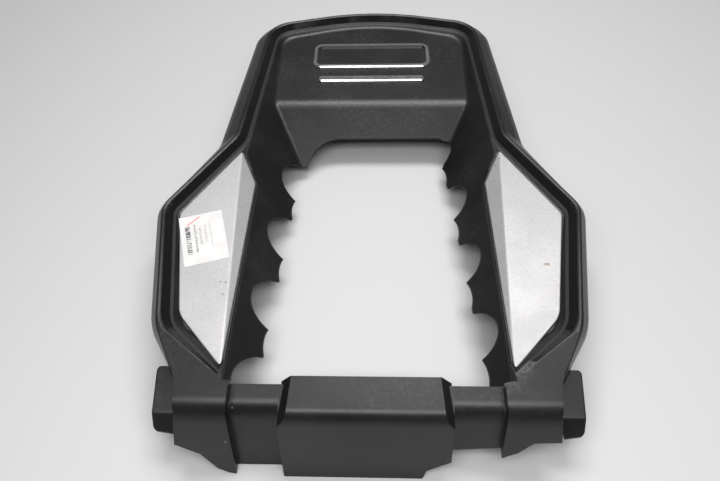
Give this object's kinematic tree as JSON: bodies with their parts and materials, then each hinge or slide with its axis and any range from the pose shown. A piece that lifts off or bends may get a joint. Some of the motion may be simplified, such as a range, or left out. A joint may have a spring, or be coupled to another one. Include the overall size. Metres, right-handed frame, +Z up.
{
  "type": "engine cover",
  "caption": "Moulded plastic engine cover with a gloss-edged rim, a finned open well, a raised rear deck, silver side trim panels and push-on rubber grommets underneath.",
  "frame": {"origin": "centre of the bounding box on the level the cover rests on", "axes": "+Y towards the badge deck, +X to the right with the deck away from the viewer, +Z up"},
  "size_m": [0.4594, 0.6228, 0.086],
  "materials": {
    "shell_plastic": "fine grained black moulding with a gloss band",
    "silver_trim": "satin silver paint on plastic",
    "label_paper": "plain white paper label",
    "bright_trim": "chrome plated plastic",
    "grommet_rubber": "soft black rubber"
  },
  "bodies": {
    "root": {"cover_shell": "shell_plastic", "left_trim_insert": "silver_trim", "right_trim_insert": "silver_trim", "paper_label": "label_paper", "badge_frame": "bright_trim", "badge_bar": "bright_trim", "grommet_rear_left": "grommet_rubber", "grommet_rear_right": "grommet_rubber", "grommet_front_left": "grommet_rubber", "grommet_front_right": "grommet_rubber"}
  },
  "joints": []
}
